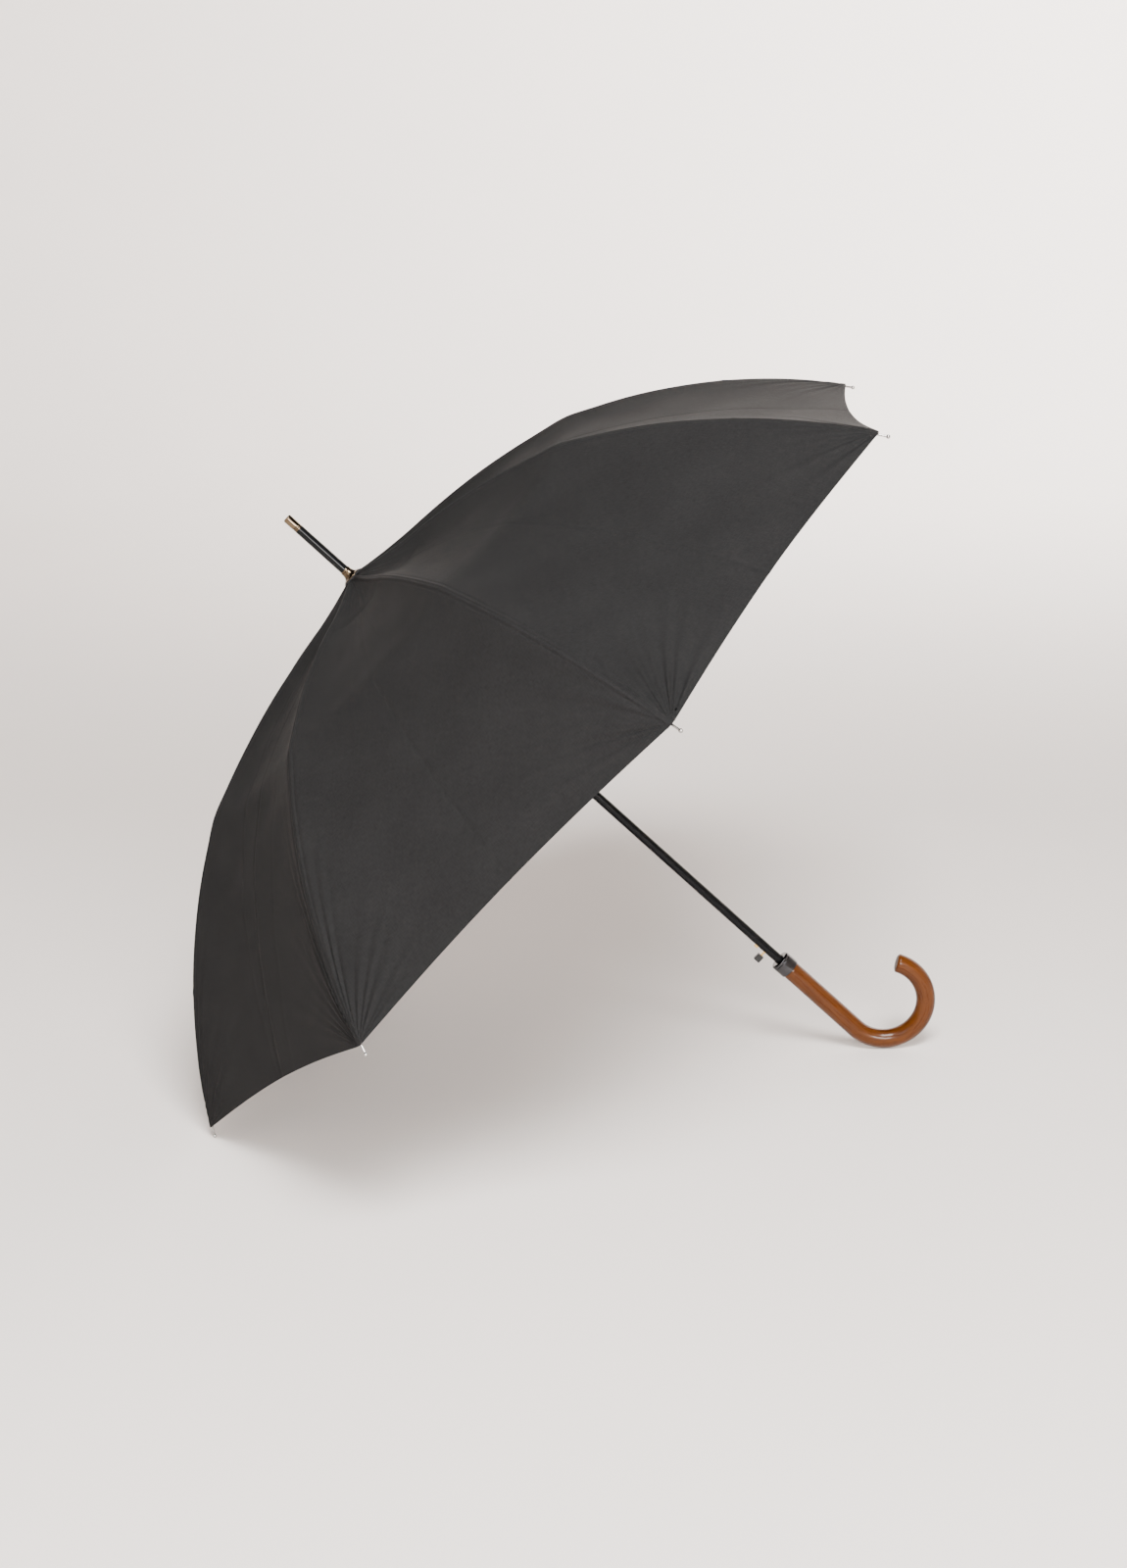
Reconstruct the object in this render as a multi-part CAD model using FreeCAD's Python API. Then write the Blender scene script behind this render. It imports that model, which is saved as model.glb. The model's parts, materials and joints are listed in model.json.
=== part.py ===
import FreeCAD, Part
import math
import os
from FreeCAD import Placement, Rotation, Vector

# An eight-rib automatic stick umbrella, standing open on two rib tips and the bend of its crook.
# Everything is drawn upright about the shaft's axis: the crown is at z = 0, the ferrule points to
# +Z, the handle to -Z, and the crook curls towards +X. lay_down() then leans it to its resting pose.
# In a rib's own plane a place is (radius from the shaft, depth below the crown).

# ---- ribs and canopy, mm
RIBS = 8
RIB_STEP = 360.0 / RIBS
FIRST_RIB = RIB_STEP / 2
TIP_RADIUS = 520.0
TIP_DEPTH = 268.0
INNER_SLOPE_AT_JOINT = 20.0
OUTER_SLOPE_AT_JOINT = 26.0
ROD_RADIUS = 1.5
TIP_BALL_RADIUS = 2.0
TIP_PIN_RADIUS = 1.0
TIP_PIN_LENGTH = 12.0
TIP_SLEEVE_LENGTH = 12.0
TIP_SOCKET_DEPTH = 10.0
CANOPY_GAP = 3.0
CANOPY_THICKNESS = 1.0
CANOPY_SEAM = 0.3
CANOPY_TOP = 7.0
CANOPY_CORNER = 12.0

# ---- linkage, mm: each rib and its stretcher make an isosceles triangle on the shaft
PIVOT_RADIUS = 9.0
CROWN_PIVOT_DEPTH = 12.0
STRETCHER_LENGTH = 272.0
RIB_JOINT_DEPTH = 59.1
STRUT_LENGTH = 85.0
CLOSED_RIB_ANGLE = 5.0
WIRE_RADIUS = 0.6
WIRE_HOLE = 0.68
EYE_RADIUS = 2.2
EYE_HALF = 0.8
NECK_LENGTH = 5.0
BAR_HALF_HEIGHT = 1.5
RIVET_RADIUS = 0.8
RIVET_HALF = 2.95
RIVET_HOLE = 0.87
TONGUE_HALF = 0.7
RIB_CHEEK = (0.8, 1.5)
KNUCKLE_RADIUS = 1.9
KNUCKLE_LENGTH = 4.0
STRETCHER_CHEEK = (1.85, 2.65)
STRETCHER_FORK = 15.0
STRETCHER_BRIDGE = 4.0
STRETCHER_HALF = 1.0
STRUT_PIN_RADIUS = 0.7
STRUT_PIN_HALF = 2.3
STRUT_PIN_HOLE = 0.78
STRUT_CHEEK = (1.35, 1.95)
STRUT_HALF_HEIGHT = 1.4
STRUT_WEB_START = 13.0
STRUT_WEB = 0.6
STRUT_BLOCK = 8.0

# ---- crown, runner and spring collar, mm
HUB_RADIUS = 12.5
HUB_HALF_HEIGHT = 3.5
SLOT_HALF = 1.0
SLOT_BOTTOM_RADIUS = 6.4
SLOT_END = 2.7
GROOVE_HALF = 0.63
RUNNING_FIT = 0.08
CROWN_NECK_RADIUS = 7.0
RUNNER_SLEEVE_RADIUS = 7.2
RUNNER_LENGTH = 31.0
RUNNER_RIM_RADIUS = 10.0
RUNNER_RIM = 2.6
RUNNER_WINDOW = (23.0, 28.4)
RUNNER_WINDOW_HALF = 2.0
SPRING_COIL_RADIUS = 6.0
SPRING_TURNS = 14

# ---- shaft, ferrule and release catch, mm
SHAFT_RADIUS = 4.9
SHAFT_BORE = 4.1
SHAFT_TOP = 4.0
SHAFT_BOTTOM = -645.0
FERRULE_LENGTH = 89.4
FERRULE_CAP_LENGTH = 17.4
FERRULE_RADII = (4.85, 4.7)
FERRULE_SPIGOT = 10.0
CAP_RADIUS = 4.75
CAP_ROUNDING = 1.6
CUP_HEIGHT = 10.5
CUP_RADIUS = 10.6
WASHER_RADIUS = 12.2
WASHER_THICKNESS = 1.0
CATCH_SLOT = (-593.0, -575.0)
CATCH_SLOT_HALF = 1.8
LEAF_X = (-3.4, -2.6)
LEAF_Z = (-604.0, -573.0)
LEAF_HALF = 1.4
HOOK_X = -7.2
HOOK_Z = (-581.5, -577.5)
STEM_Z = (-591.6, -589.6)
BUTTON_X = (-17.6, -9.6)
BUTTON_Z = (-594.2, -587.0)
BUTTON_HALF = 3.1

# ---- handle, mm
COLLAR_TOP = -607.6
COLLAR_LENGTH = 16.4
COLLAR_RADIUS = 11.4
COLLAR_BEVEL = 1.2
COLLAR_ROOF = 3.0
HANDLE_RADIUS = 10.1
SPIGOT_RADIUS = 9.6
CROOK_START = -721.5
CROOK_RADIUS = 44.0
CROOK_ANGLE = 208.0
CROOK_ROUNDING = 2.4

# ---- tie strap, mm: it lies along a rib on the canopy's far side
STRAP_RIB = 3
STRAP_START = 110.0
STRAP_END = 290.0
STRAP_HALF_WIDTH = 9.0
STRAP_THICKNESS = 1.0
STRAP_LIFT = CANOPY_GAP + CANOPY_THICKNESS + 0.4
SNAP_RADIUS = 5.5
SNAP_HEIGHT = 1.4
SNAP_INSET = 14.0

# ---- places in a rib's plane that follow from the dimensions above
rib_rise = math.asin((RIB_JOINT_DEPTH - CROWN_PIVOT_DEPTH) / STRETCHER_LENGTH)
joint_radius = PIVOT_RADIUS + STRETCHER_LENGTH * math.cos(rib_rise)
CROWN_PIVOT = (PIVOT_RADIUS, CROWN_PIVOT_DEPTH)
RIB_JOINT = (joint_radius, RIB_JOINT_DEPTH)
RIB_TIP = (TIP_RADIUS, TIP_DEPTH)
RUNNER_PIVOT = (PIVOT_RADIUS, CROWN_PIVOT_DEPTH + 2 * STRETCHER_LENGTH * math.sin(rib_rise))
COLLAR_PIVOT = (PIVOT_RADIUS, RUNNER_PIVOT[1] - 2 * STRUT_LENGTH * math.sin(rib_rise))
STRUT_PIVOT = (
    PIVOT_RADIUS + STRUT_LENGTH * math.cos(rib_rise),
    RUNNER_PIVOT[1] - STRUT_LENGTH * math.sin(rib_rise),
)


def lean_angle():
    """The shaft's angle to the floor when two rib tips and the crook's bend rest on it."""
    drop = -CROOK_START - TIP_DEPTH
    reach = TIP_RADIUS * math.cos(math.radians(FIRST_RIB))
    low, high = 0.1, 1.4
    for _ in range(60):
        angle = (low + high) / 2
        handle = drop * math.sin(angle) + CROOK_RADIUS * (1 - math.cos(angle)) + HANDLE_RADIUS
        if handle - TIP_BALL_RADIUS < reach * math.cos(angle):
            low = angle
        else:
            high = angle
    return math.degrees((low + high) / 2)


def place(point, side=0.0):
    """A place in the rib's plane, as a vector."""
    return Vector(point[0], side, -point[1])


def at_rib(shape, number):
    """A copy of a shape drawn along +X, turned to the numbered rib."""
    turned = shape.copy()
    turned.rotate(Vector(0, 0, 0), Vector(0, 0, 1), FIRST_RIB + RIB_STEP * (number - 1))
    return turned


def cylinder(radius, low, high):
    return Part.makeCylinder(radius, high - low, Vector(0, 0, low))


def box(x, y, z):
    """A box between the two ends given for each direction."""
    size = (x[1] - x[0], y[1] - y[0], z[1] - z[0])
    return Part.makeBox(size[0], size[1], size[2], Vector(x[0], y[0], z[0]))


def disc(radius, sides, centre=Vector(0, 0, 0)):
    """A disc whose axis is along Y, from one side to the other."""
    start = Vector(centre.x, centre.y + sides[0], centre.z)
    return Part.makeCylinder(radius, sides[1] - sides[0], start, Vector(0, 1, 0))


def mirrored(sides):
    """Both of a fork's cheeks, as pairs of sides."""
    return (sides, (-sides[1], -sides[0]))


def turned_profile(points):
    """A solid turned about the shaft from an outline of (radius, height)."""
    corners = [Vector(radius, 0, height) for radius, height in points]
    face = Part.Face(Part.makePolygon(corners + corners[:1]))
    return face.revolve(Vector(0, 0, 0), Vector(0, 0, 1), 360)


class Arc:
    """A circular arc in the rib's plane, which leaves its start at a slope below the horizontal."""

    def __init__(self, start, slope, end):
        across, down = end[0] - start[0], end[1] - start[1]
        chord_slope = math.atan2(down, across)
        self.slope = math.radians(slope)
        self.turn = 2 * (chord_slope - self.slope)
        self.radius = math.hypot(across, down) / (2 * math.sin(self.turn / 2))
        self.length = self.radius * self.turn
        inward = Vector(-math.sin(self.slope), 0, -math.cos(self.slope))
        self.centre = place(start) + inward * self.radius

    def at(self, distance, lift=0.0):
        """The point a distance along the arc, lifted off it."""
        angle = self.slope + distance / self.radius
        return self.centre + Vector(math.sin(angle), 0, math.cos(angle)) * (self.radius + lift)

    def sweep(self, face, start, end):
        """Carry a face, drawn in the YZ plane about the origin, along part of the arc."""
        angle = self.slope + start / self.radius
        moved = face.copy()
        moved.Placement = Placement(self.at(start), Rotation(Vector(0, 1, 0), math.degrees(angle)))
        return moved.revolve(self.centre, Vector(0, 1, 0), math.degrees((end - start) / self.radius))


def round_face(radius):
    return Part.Face(Part.Wire(Part.makeCircle(radius, Vector(0, 0, 0), Vector(1, 0, 0))))


def flat_face(sides, heights):
    corners = [(sides[0], heights[0]), (sides[1], heights[0]), (sides[1], heights[1]), (sides[0], heights[1])]
    points = [Vector(0, y, z) for y, z in corners]
    return Part.Face(Part.makePolygon(points + points[:1]))


def link(shape, start, end):
    """Move a link drawn from the origin along +X so that it runs between two places."""
    along = place(end) - place(start)
    angle = math.degrees(math.atan2(-along.z, along.x))
    shape.Placement = Placement(place(start), Rotation(Vector(0, 1, 0), angle))
    return shape


def joint_slope():
    """The inner rib's slope where it leaves the crown, so that it reaches the joint at its set slope."""
    return 2 * math.degrees(rib_rise) - INNER_SLOPE_AT_JOINT


INNER_ARC = Arc(CROWN_PIVOT, joint_slope(), RIB_JOINT)
OUTER_ARC = Arc(RIB_JOINT, OUTER_SLOPE_AT_JOINT, RIB_TIP)
FLAT_HEIGHTS = (-BAR_HALF_HEIGHT, BAR_HALF_HEIGHT)


def rib_inner():
    arc, length = INNER_ARC, INNER_ARC.length
    neck = flat_face((-EYE_HALF, EYE_HALF), FLAT_HEIGHTS)
    tongue = flat_face((-TONGUE_HALF, TONGUE_HALF), FLAT_HEIGHTS)
    pieces = [
        disc(EYE_RADIUS, (-EYE_HALF, EYE_HALF), place(CROWN_PIVOT)),
        arc.sweep(neck, 0, NECK_LENGTH + 1),
        arc.sweep(round_face(ROD_RADIUS), NECK_LENGTH, length - KNUCKLE_LENGTH),
        arc.sweep(tongue, length - KNUCKLE_LENGTH - 1, length),
        disc(KNUCKLE_RADIUS, (-TONGUE_HALF, TONGUE_HALF), place(RIB_JOINT)),
        disc(RIVET_RADIUS, (-RIVET_HALF, RIVET_HALF), place(RIB_JOINT)),
    ]
    hole = disc(WIRE_HOLE, (-EYE_HALF - 1, EYE_HALF + 1), place(CROWN_PIVOT))
    return pieces[0].multiFuse(pieces[1:]).removeSplitter().cut(hole)


def rib_outer():
    """The outer rod with its fork, and the metal tip pushed on its end, as two solids."""
    arc, length = OUTER_ARC, OUTER_ARC.length
    rod_end = length - TIP_PIN_LENGTH - 2
    sleeve_start = rod_end - TIP_SOCKET_DEPTH
    sleeve_end = sleeve_start + TIP_SLEEVE_LENGTH
    pieces = [arc.sweep(round_face(ROD_RADIUS), KNUCKLE_LENGTH, rod_end)]
    for sides in mirrored(RIB_CHEEK):
        pieces.append(arc.sweep(flat_face(sides, FLAT_HEIGHTS), 0, KNUCKLE_LENGTH + 1))
        pieces.append(disc(KNUCKLE_RADIUS, sides, place(RIB_JOINT)))
    hole = disc(RIVET_HOLE, (-RIVET_HALF, RIVET_HALF), place(RIB_JOINT))
    rod = pieces[0].multiFuse(pieces[1:]).removeSplitter().cut(hole)
    sleeve = arc.sweep(round_face(KNUCKLE_RADIUS), sleeve_start, sleeve_end)
    pin = arc.sweep(round_face(TIP_PIN_RADIUS), rod_end, length)
    ball = Part.makeSphere(TIP_BALL_RADIUS, arc.at(length))
    socket = arc.sweep(round_face(ROD_RADIUS), sleeve_start, rod_end)
    tip = sleeve.multiFuse([pin, ball]).cut(socket)
    return Part.makeCompound([rod, tip])


def stretcher():
    fork_end, bridge_end = STRETCHER_FORK, STRETCHER_FORK + STRETCHER_BRIDGE
    neck_start = STRETCHER_LENGTH - NECK_LENGTH
    outer = STRETCHER_CHEEK[1]
    hub = Vector(STRETCHER_LENGTH, 0, 0)
    strut_pin = Vector(STRETCHER_LENGTH - STRUT_LENGTH, 0, 0)
    pieces = [
        box((fork_end - 1, bridge_end), (-outer, outer), FLAT_HEIGHTS),
        box((fork_end, neck_start), (-STRETCHER_HALF, STRETCHER_HALF), FLAT_HEIGHTS),
        box((neck_start - 1, STRETCHER_LENGTH), (-EYE_HALF, EYE_HALF), FLAT_HEIGHTS),
        disc(EYE_RADIUS, (-EYE_HALF, EYE_HALF), hub),
        disc(STRUT_PIN_RADIUS, (-STRUT_PIN_HALF, STRUT_PIN_HALF), strut_pin),
    ]
    for sides in mirrored(STRETCHER_CHEEK):
        pieces.append(box((0, fork_end), sides, FLAT_HEIGHTS))
        pieces.append(disc(KNUCKLE_RADIUS, sides))
    holes = [
        disc(RIVET_HOLE, (-RIVET_HALF, RIVET_HALF)),
        disc(WIRE_HOLE, (-EYE_HALF - 1, EYE_HALF + 1), hub),
    ]
    bar = pieces[0].multiFuse(pieces[1:]).removeSplitter().cut(holes)
    return link(bar, RIB_JOINT, RUNNER_PIVOT)


def spring_strut():
    """A channel that straddles the stretcher, open towards it when the umbrella is folded."""
    heights = (-STRUT_HALF_HEIGHT, STRUT_HALF_HEIGHT)
    block_start = STRUT_LENGTH - NECK_LENGTH - STRUT_BLOCK
    outer = STRUT_CHEEK[1]
    hub = Vector(STRUT_LENGTH, 0, 0)
    web_heights = (STRUT_HALF_HEIGHT - STRUT_WEB, STRUT_HALF_HEIGHT)
    pieces = [
        box((block_start, STRUT_LENGTH - NECK_LENGTH), (-outer, outer), heights),
        box((STRUT_WEB_START, block_start), (-outer, outer), web_heights),
        box((STRUT_LENGTH - NECK_LENGTH - 1, STRUT_LENGTH), (-EYE_HALF, EYE_HALF), heights),
        disc(EYE_RADIUS, (-EYE_HALF, EYE_HALF), hub),
    ]
    for sides in mirrored(STRUT_CHEEK):
        pieces.append(box((0, block_start), sides, heights))
        pieces.append(disc(KNUCKLE_RADIUS, sides))
    holes = [
        disc(STRUT_PIN_HOLE, (-STRUT_PIN_HALF, STRUT_PIN_HALF)),
        disc(WIRE_HOLE, (-EYE_HALF - 1, EYE_HALF + 1), hub),
    ]
    channel = pieces[0].multiFuse(pieces[1:]).removeSplitter().cut(holes)
    return link(channel, STRUT_PIVOT, COLLAR_PIVOT)


def over_joint(lift):
    """Where the canopy turns from the inner arc to the outer one, lifted off the rib's joint."""
    angle = math.radians((INNER_SLOPE_AT_JOINT + OUTER_SLOPE_AT_JOINT) / 2)
    return place(RIB_JOINT) + Vector(math.sin(angle), 0, math.cos(angle)) * lift


def gore_profile(width_share):
    """The canopy's thickness along a meridian, drawn in the XZ plane and drawn in towards the shaft."""
    low, high = CANOPY_GAP, CANOPY_GAP + CANOPY_THICKNESS
    end = OUTER_ARC.length - CANOPY_CORNER
    edges = []
    for lift in (low, high):
        turn = over_joint(lift)
        inner_middle = INNER_ARC.at((CANOPY_TOP + INNER_ARC.length) / 2, lift)
        edges.append(Part.Arc(INNER_ARC.at(CANOPY_TOP, lift), inner_middle, turn).toShape())
        edges.append(Part.Arc(turn, OUTER_ARC.at(end / 2, lift), OUTER_ARC.at(end, lift)).toShape())
    for arc, distance in ((INNER_ARC, CANOPY_TOP), (OUTER_ARC, end)):
        edges.append(Part.makeLine(arc.at(distance, low), arc.at(distance, high)))
    face = Part.Face(Part.Wire(Part.__sortEdges__(edges)))
    narrowed = FreeCAD.Matrix()
    narrowed.A11 = width_share
    return face.transformGeometry(narrowed)


def canopy_panel():
    """The fabric on both sides of one rib, out to the middle of each gore, where it runs straight across."""
    half_step = math.radians(RIB_STEP / 2)
    half_width = TIP_RADIUS * math.sin(half_step)
    profile = gore_profile(math.cos(half_step))
    profile.translate(Vector(0, -half_width, 0))
    gore = profile.extrude(Vector(0, 2 * half_width, 0))
    reach = 2 * TIP_RADIUS
    halves = []
    for side in (1, -1):
        half = gore.copy()
        half.rotate(Vector(0, 0, 0), Vector(0, 0, 1), side * RIB_STEP / 2)
        edge = Vector(reach, 0, 0)
        edge = Rotation(Vector(0, 0, 1), side * RIB_STEP / 2).multVec(edge)
        back = Vector(math.sin(half_step), -side * math.cos(half_step), 0) * (CANOPY_SEAM / 2)
        corners = [back, Vector(reach, 0, 0), edge + back]
        corners = [Vector(corner.x, corner.y, -reach) for corner in corners]
        wedge = Part.Face(Part.makePolygon(corners + corners[:1])).extrude(Vector(0, 0, 2 * reach))
        halves.append(half.common(wedge))
    return halves[0].fuse(halves[1]).removeSplitter()


def hub(pivot_depth, slots_open_up, low, high):
    """A ring slotted for eight eyes, grooved for the wire that strings them, with its bore left solid."""
    middle = -pivot_depth
    body = cylinder(HUB_RADIUS, middle + low, middle + high)
    groove = cylinder(HUB_RADIUS + 1, middle - GROOVE_HALF, middle + GROOVE_HALF)
    groove = groove.cut(cylinder(PIVOT_RADIUS - GROOVE_HALF, middle - GROOVE_HALF, middle + GROOVE_HALF))
    ends = (-SLOT_END, high + 1) if slots_open_up else (low - 1, SLOT_END)
    slot = box(
        (SLOT_BOTTOM_RADIUS, HUB_RADIUS + 1),
        (-SLOT_HALF, SLOT_HALF),
        (middle + ends[0], middle + ends[1]),
    )
    slots = [at_rib(slot, number) for number in range(1, RIBS + 1)]
    return body.cut([groove] + slots)


def ring_wire(pivot_depth):
    return Part.makeTorus(PIVOT_RADIUS, WIRE_RADIUS, Vector(0, 0, -pivot_depth))


def crown():
    top = -WASHER_THICKNESS
    shoulder = -CROWN_PIVOT_DEPTH + HUB_HALF_HEIGHT + 2
    neck = cylinder(CROWN_NECK_RADIUS, shoulder - 1, top)
    body = hub(CROWN_PIVOT_DEPTH, False, -HUB_HALF_HEIGHT, HUB_HALF_HEIGHT + 2).fuse(neck)
    return body.removeSplitter().cut(cylinder(SHAFT_RADIUS, -CROWN_PIVOT_DEPTH - 10, top + 1))


def runner():
    middle = -RUNNER_PIVOT[1]
    head = hub(RUNNER_PIVOT[1], True, -HUB_HALF_HEIGHT, HUB_HALF_HEIGHT)
    sleeve = cylinder(RUNNER_SLEEVE_RADIUS, middle - RUNNER_LENGTH, middle - HUB_HALF_HEIGHT + 1)
    rim = cylinder(RUNNER_RIM_RADIUS, middle - RUNNER_LENGTH, middle - RUNNER_LENGTH + RUNNER_RIM)
    rim = rim.makeFillet(0.8, [edge for edge in rim.Edges if edge.Closed])
    window = box(
        (-HUB_RADIUS, -SHAFT_BORE),
        (-RUNNER_WINDOW_HALF, RUNNER_WINDOW_HALF),
        (middle - RUNNER_WINDOW[1], middle - RUNNER_WINDOW[0]),
    )
    bore = cylinder(SHAFT_RADIUS + RUNNING_FIT, middle - RUNNER_LENGTH - 1, middle + HUB_HALF_HEIGHT + 1)
    return head.multiFuse([sleeve, rim]).removeSplitter().cut([bore, window])


def spring_collar():
    body = hub(COLLAR_PIVOT[1], False, -HUB_HALF_HEIGHT, HUB_HALF_HEIGHT)
    middle = -COLLAR_PIVOT[1]
    bore = cylinder(SHAFT_RADIUS + RUNNING_FIT, middle - HUB_HALF_HEIGHT - 1, middle + HUB_HALF_HEIGHT + 1)
    return body.cut(bore)


def opening_spring():
    """The tension coil that draws the collar and the runner together."""
    low = -RUNNER_PIVOT[1] + HUB_HALF_HEIGHT + WIRE_RADIUS
    high = -COLLAR_PIVOT[1] - HUB_HALF_HEIGHT - WIRE_RADIUS
    path = Part.makeHelix((high - low) / SPRING_TURNS, high - low, SPRING_COIL_RADIUS)
    start = Vector(SPRING_COIL_RADIUS, 0, 0)
    section = Part.Wire(Part.makeCircle(WIRE_RADIUS, start, Vector(0, 1, 0)))
    coil = Part.Wire(path).makePipeShell([section], True, True)
    coil.translate(Vector(0, 0, low))
    return coil


def shaft():
    tube = cylinder(SHAFT_RADIUS, SHAFT_BOTTOM, SHAFT_TOP)
    bore = cylinder(SHAFT_BORE, SHAFT_BOTTOM - 1, SHAFT_TOP + 1)
    slot = box((-SHAFT_RADIUS - 1, 0), (-CATCH_SLOT_HALF, CATCH_SLOT_HALF), CATCH_SLOT)
    return tube.cut([bore, slot])


def catch_leaf():
    """A brass leaf inside the shaft, with the hook that holds the runner and the button's stem."""
    sides = (-LEAF_HALF, LEAF_HALF)
    leaf = box(LEAF_X, sides, LEAF_Z)
    hook = box((HOOK_X, LEAF_X[1]), sides, HOOK_Z)
    stem = box((BUTTON_X[1], LEAF_X[1]), sides, STEM_Z)
    return leaf.multiFuse([hook, stem]).removeSplitter()


def release_button():
    block = box(BUTTON_X, (-BUTTON_HALF, BUTTON_HALF), BUTTON_Z)
    return block.makeFillet(1.1, block.Edges)


def ferrule_spike():
    top = FERRULE_LENGTH - FERRULE_CAP_LENGTH
    return turned_profile(
        [
            (0, SHAFT_TOP - FERRULE_SPIGOT),
            (SHAFT_BORE, SHAFT_TOP - FERRULE_SPIGOT),
            (SHAFT_BORE, SHAFT_TOP),
            (FERRULE_RADII[0], SHAFT_TOP),
            (FERRULE_RADII[1], top),
            (0, top),
        ]
    )


def ferrule_cap():
    """The metal end, with two turned grooves beside the spike."""
    low = FERRULE_LENGTH - FERRULE_CAP_LENGTH
    cap = cylinder(CAP_RADIUS, low, FERRULE_LENGTH)
    end = [edge for edge in cap.Edges if edge.Closed and edge.BoundBox.ZMin > FERRULE_LENGTH - 0.1]
    cap = cap.makeFillet(CAP_ROUNDING, end)
    grooves = []
    for height in (1.6, 3.6):
        grooves.append(Part.makeTorus(CAP_RADIUS + 0.2, 0.5, Vector(0, 0, low + height)))
    return cap.cut(grooves)


def canopy_cup():
    """The trumpet-shaped cup at the foot of the ferrule."""
    outline = Part.BSplineCurve()
    outline.interpolate(
        [
            Vector(CUP_RADIUS, 0, 0.8),
            Vector(7.6, 0, 2.2),
            Vector(5.9, 0, 5.2),
            Vector(5.3, 0, CUP_HEIGHT),
        ]
    )
    corners = [Vector(5.3, 0, CUP_HEIGHT), Vector(SHAFT_RADIUS, 0, CUP_HEIGHT), Vector(SHAFT_RADIUS, 0, 0)]
    corners += [Vector(CUP_RADIUS, 0, 0), Vector(CUP_RADIUS, 0, 0.8)]
    edges = [outline.toShape(), Part.makePolygon(corners)]
    face = Part.Face(Part.Wire(edges[:1] + edges[1].Edges))
    return face.revolve(Vector(0, 0, 0), Vector(0, 0, 1), 360)


def canopy_washer():
    disc_shape = cylinder(WASHER_RADIUS, -WASHER_THICKNESS, 0)
    return disc_shape.cut(cylinder(SHAFT_RADIUS, -2 * WASHER_THICKNESS, 1))


def handle_collar():
    low = COLLAR_TOP - COLLAR_LENGTH
    ring = cylinder(COLLAR_RADIUS, low, COLLAR_TOP)
    top = [edge for edge in ring.Edges if edge.Closed and edge.BoundBox.ZMin > COLLAR_TOP - 0.1]
    ring = ring.makeChamfer(COLLAR_BEVEL, top)
    socket = cylinder(SPIGOT_RADIUS, low - 1, COLLAR_TOP - COLLAR_ROOF)
    return ring.cut([socket, cylinder(SHAFT_RADIUS, low - 1, COLLAR_TOP + 1)])


def handle():
    """The turned wooden grip, bored for the shaft, and its bent crook."""
    top = COLLAR_TOP - COLLAR_ROOF
    shoulder = COLLAR_TOP - COLLAR_LENGTH
    spigot = cylinder(SPIGOT_RADIUS, shoulder - 1, top)
    grip = cylinder(HANDLE_RADIUS, CROOK_START, shoulder)
    start = Part.Face(Part.Wire(Part.makeCircle(HANDLE_RADIUS, Vector(0, 0, CROOK_START))))
    middle = Vector(CROOK_RADIUS, 0, CROOK_START)
    crook = start.revolve(middle, Vector(0, -1, 0), CROOK_ANGLE)
    climb = math.radians(CROOK_ANGLE - 180)
    end = middle + Vector(math.cos(climb), 0, math.sin(climb)) * CROOK_RADIUS
    rim = [edge for edge in crook.Edges if edge.Closed and (edge.CenterOfMass - end).Length < 1]
    crook = crook.makeFillet(CROOK_ROUNDING, rim)
    bore = cylinder(SHAFT_RADIUS, SHAFT_BOTTOM, top + 1)
    return grip.multiFuse([spigot, crook]).removeSplitter().cut(bore)


def tie_strap():
    heights = (STRAP_LIFT, STRAP_LIFT + STRAP_THICKNESS)
    band = flat_face((-STRAP_HALF_WIDTH, STRAP_HALF_WIDTH), heights)
    return OUTER_ARC.sweep(band, STRAP_START, STRAP_END)


def strap_snaps():
    """The two halves of the strap's press stud, one near each end."""
    snaps = []
    for distance in (STRAP_START + SNAP_INSET, STRAP_END - SNAP_INSET):
        foot = OUTER_ARC.at(distance, STRAP_LIFT + STRAP_THICKNESS)
        outward = OUTER_ARC.at(distance, 1) - OUTER_ARC.at(distance)
        snaps.append(Part.makeCylinder(SNAP_RADIUS, SNAP_HEIGHT, foot, outward))
    return Part.makeCompound(snaps)


def build():
    """Every node and its shape, upright about the shaft."""
    nodes = {
        "shaft": shaft(),
        "handle": handle(),
        "handle_collar": handle_collar(),
        "crown": crown(),
        "crown_wire": ring_wire(CROWN_PIVOT_DEPTH),
        "canopy_washer": canopy_washer(),
        "canopy_cup": canopy_cup(),
        "ferrule_spike": ferrule_spike(),
        "ferrule_cap": ferrule_cap(),
        "catch_leaf": catch_leaf(),
        "release_button": release_button(),
        "runner": runner(),
        "runner_wire": ring_wire(RUNNER_PIVOT[1]),
        "spring_collar": spring_collar(),
        "spring_collar_wire": ring_wire(COLLAR_PIVOT[1]),
        "opening_spring": opening_spring(),
        "tie_strap": at_rib(tie_strap(), STRAP_RIB),
        "strap_snaps": at_rib(strap_snaps(), STRAP_RIB),
    }
    repeated = {
        "rib_inner": rib_inner(),
        "rib_outer": rib_outer(),
        "stretcher": stretcher(),
        "spring_strut": spring_strut(),
        "canopy_panel": canopy_panel(),
    }
    for name, shape in repeated.items():
        for number in range(1, RIBS + 1):
            nodes[f"{name}_{number}"] = at_rib(shape, number)
    return nodes


def lay_down(nodes):
    """Lean the umbrella until it rests, then put the middle of its footprint at the origin."""
    for shape in nodes.values():
        shape.rotate(Vector(0, 0, 0), Vector(0, 1, 0), lean_angle() - 90)
    whole = Part.makeCompound(list(nodes.values())).optimalBoundingBox(False, False)
    middle = Vector((whole.XMin + whole.XMax) / 2, 0, whole.ZMin)
    for shape in nodes.values():
        shape.translate(middle * -1)
    return middle


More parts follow.
